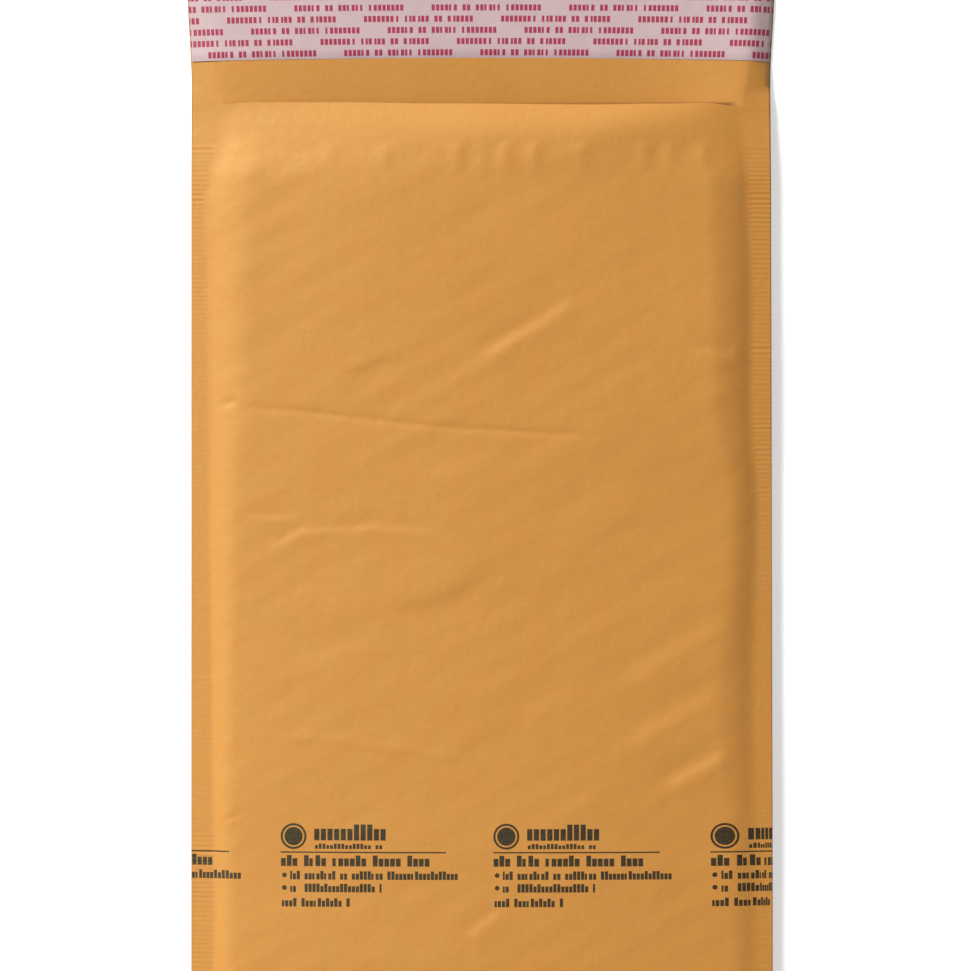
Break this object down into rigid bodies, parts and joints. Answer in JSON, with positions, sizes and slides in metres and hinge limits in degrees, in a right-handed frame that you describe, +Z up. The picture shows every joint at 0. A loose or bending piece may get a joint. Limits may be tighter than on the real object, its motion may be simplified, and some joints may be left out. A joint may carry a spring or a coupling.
{
  "type": "bubble mailer",
  "caption": "Kraft paper mailing bag lined with bubble film, lying on its back with its mouth open and its self-seal flap out flat.",
  "frame": {"origin": "on the resting plane, at the middle of the whole mailer's width and length, flap included", "axes": "+X across the mailer, +Y from the bottom fold towards the flap, +Z up from the back panel to the front panel"},
  "size_m": [0.1842, 0.3448, 0.0136],
  "materials": {
    "kraft_paper": "matt golden brown kraft paper with a slight calendered sheen",
    "bubble_film": "clear polyethylene bubble film",
    "adhesive": "tacky pressure-sensitive adhesive",
    "liner_paper": "thin siliconed paper, pinkish white with rows of small crimson marks"
  },
  "bodies": {
    "root": {"kraft_envelope": "kraft_paper", "bubble_lining": "bubble_film", "adhesive_strip": "adhesive", "release_liner": "liner_paper"}
  },
  "joints": []
}
